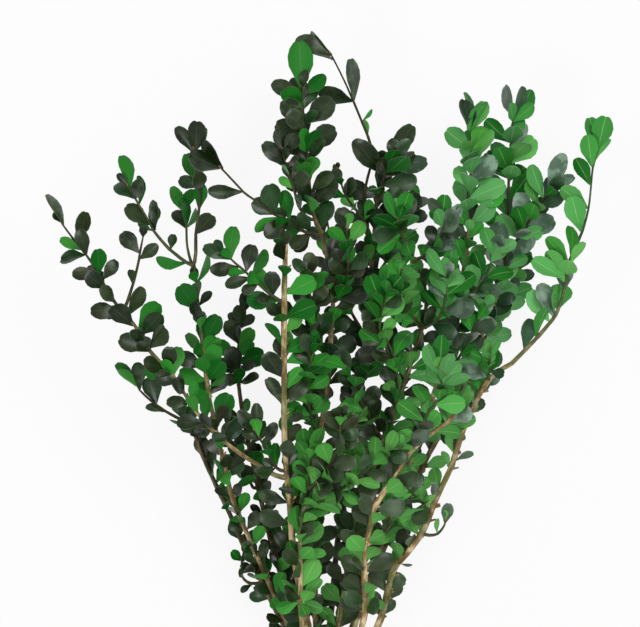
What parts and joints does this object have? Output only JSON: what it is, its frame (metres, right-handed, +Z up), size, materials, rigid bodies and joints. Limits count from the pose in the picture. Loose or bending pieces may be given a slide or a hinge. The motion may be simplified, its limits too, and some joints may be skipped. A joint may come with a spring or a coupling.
{
  "type": "preserved boxwood bunch",
  "caption": "Bunch of preserved boxwood foliage, lying down: woody stems held by a rubber band, with leafy green side shoots.",
  "frame": {"origin": "on the ground under the middle of the bunch's box", "axes": "+Y from the cut ends of the stems to the tips of the shoots, +Z up from the ground, +X to the right seen from above with the tips away from the viewer"},
  "size_m": [0.394, 0.5024, 0.1369],
  "materials": {
    "leaf_dark": "satin",
    "leaf_bright": "satin",
    "bark": "rough",
    "rubber": "matt"
  },
  "bodies": {
    "root": {"band": "rubber", "shoot_arch_left": "leaf_dark", "shoot_back_left": "leaf_dark", "shoot_crown_arch": "leaf_dark", "shoot_crown_dark": "leaf_dark", "shoot_crown_mid": "leaf_dark", "shoot_crown_side": "leaf_dark", "shoot_e_high": "leaf_bright", "shoot_f_end": "leaf_dark", "shoot_f_inner": "leaf_dark", "shoot_f_twiglet": "leaf_dark", "shoot_front_a": "leaf_bright", "shoot_front_b": "leaf_bright", "shoot_front_rise": "leaf_bright", "shoot_heart_a": "leaf_dark", "shoot_heart_b": "leaf_dark", "shoot_heart_c": "leaf_bright", "shoot_heart_d": "leaf_dark", "shoot_heart_e": "leaf_dark", "shoot_heart_f": "leaf_bright", "shoot_heart_g": "leaf_bright", "shoot_heart_h": "leaf_dark", "shoot_k_left": "leaf_bright", "shoot_k_low": "leaf_bright", "shoot_k_right": "leaf_dark", "shoot_left_fan_a": "leaf_dark", "shoot_left_fan_b": "leaf_dark", "shoot_left_high": "leaf_dark", "shoot_left_low": "leaf_dark", "shoot_left_reach": "leaf_dark", "shoot_left_rise": "leaf_dark", "shoot_limb_tip": "leaf_dark", "shoot_low_a": "leaf_dark", "shoot_low_g": "leaf_dark", "shoot_low_h": "leaf_dark", "shoot_mid_left": "leaf_dark", "shoot_right_a": "leaf_bright", "shoot_right_arm": "leaf_bright", "shoot_right_b": "leaf_bright", "shoot_right_c": "leaf_dark", "shoot_right_d": "leaf_dark", "shoot_right_e": "leaf_bright", "shoot_right_f": "leaf_dark", "shoot_right_g": "leaf_dark", "shoot_twig_to_e": "leaf_bright", "shoot_under_limb": "leaf_dark", "shoot_whorl": "leaf_dark", "stem_a": "bark", "stem_a_limb": "bark", "stem_b": "bark", "stem_c": "bark", "stem_d": "bark", "stem_e": "bark", "stem_f": "bark", "stem_g": "bark", "stem_k": "bark", "stem_l": "bark", "stem_r": "bark", "stem_s": "bark", "stem_w": "bark"}
  },
  "joints": []
}
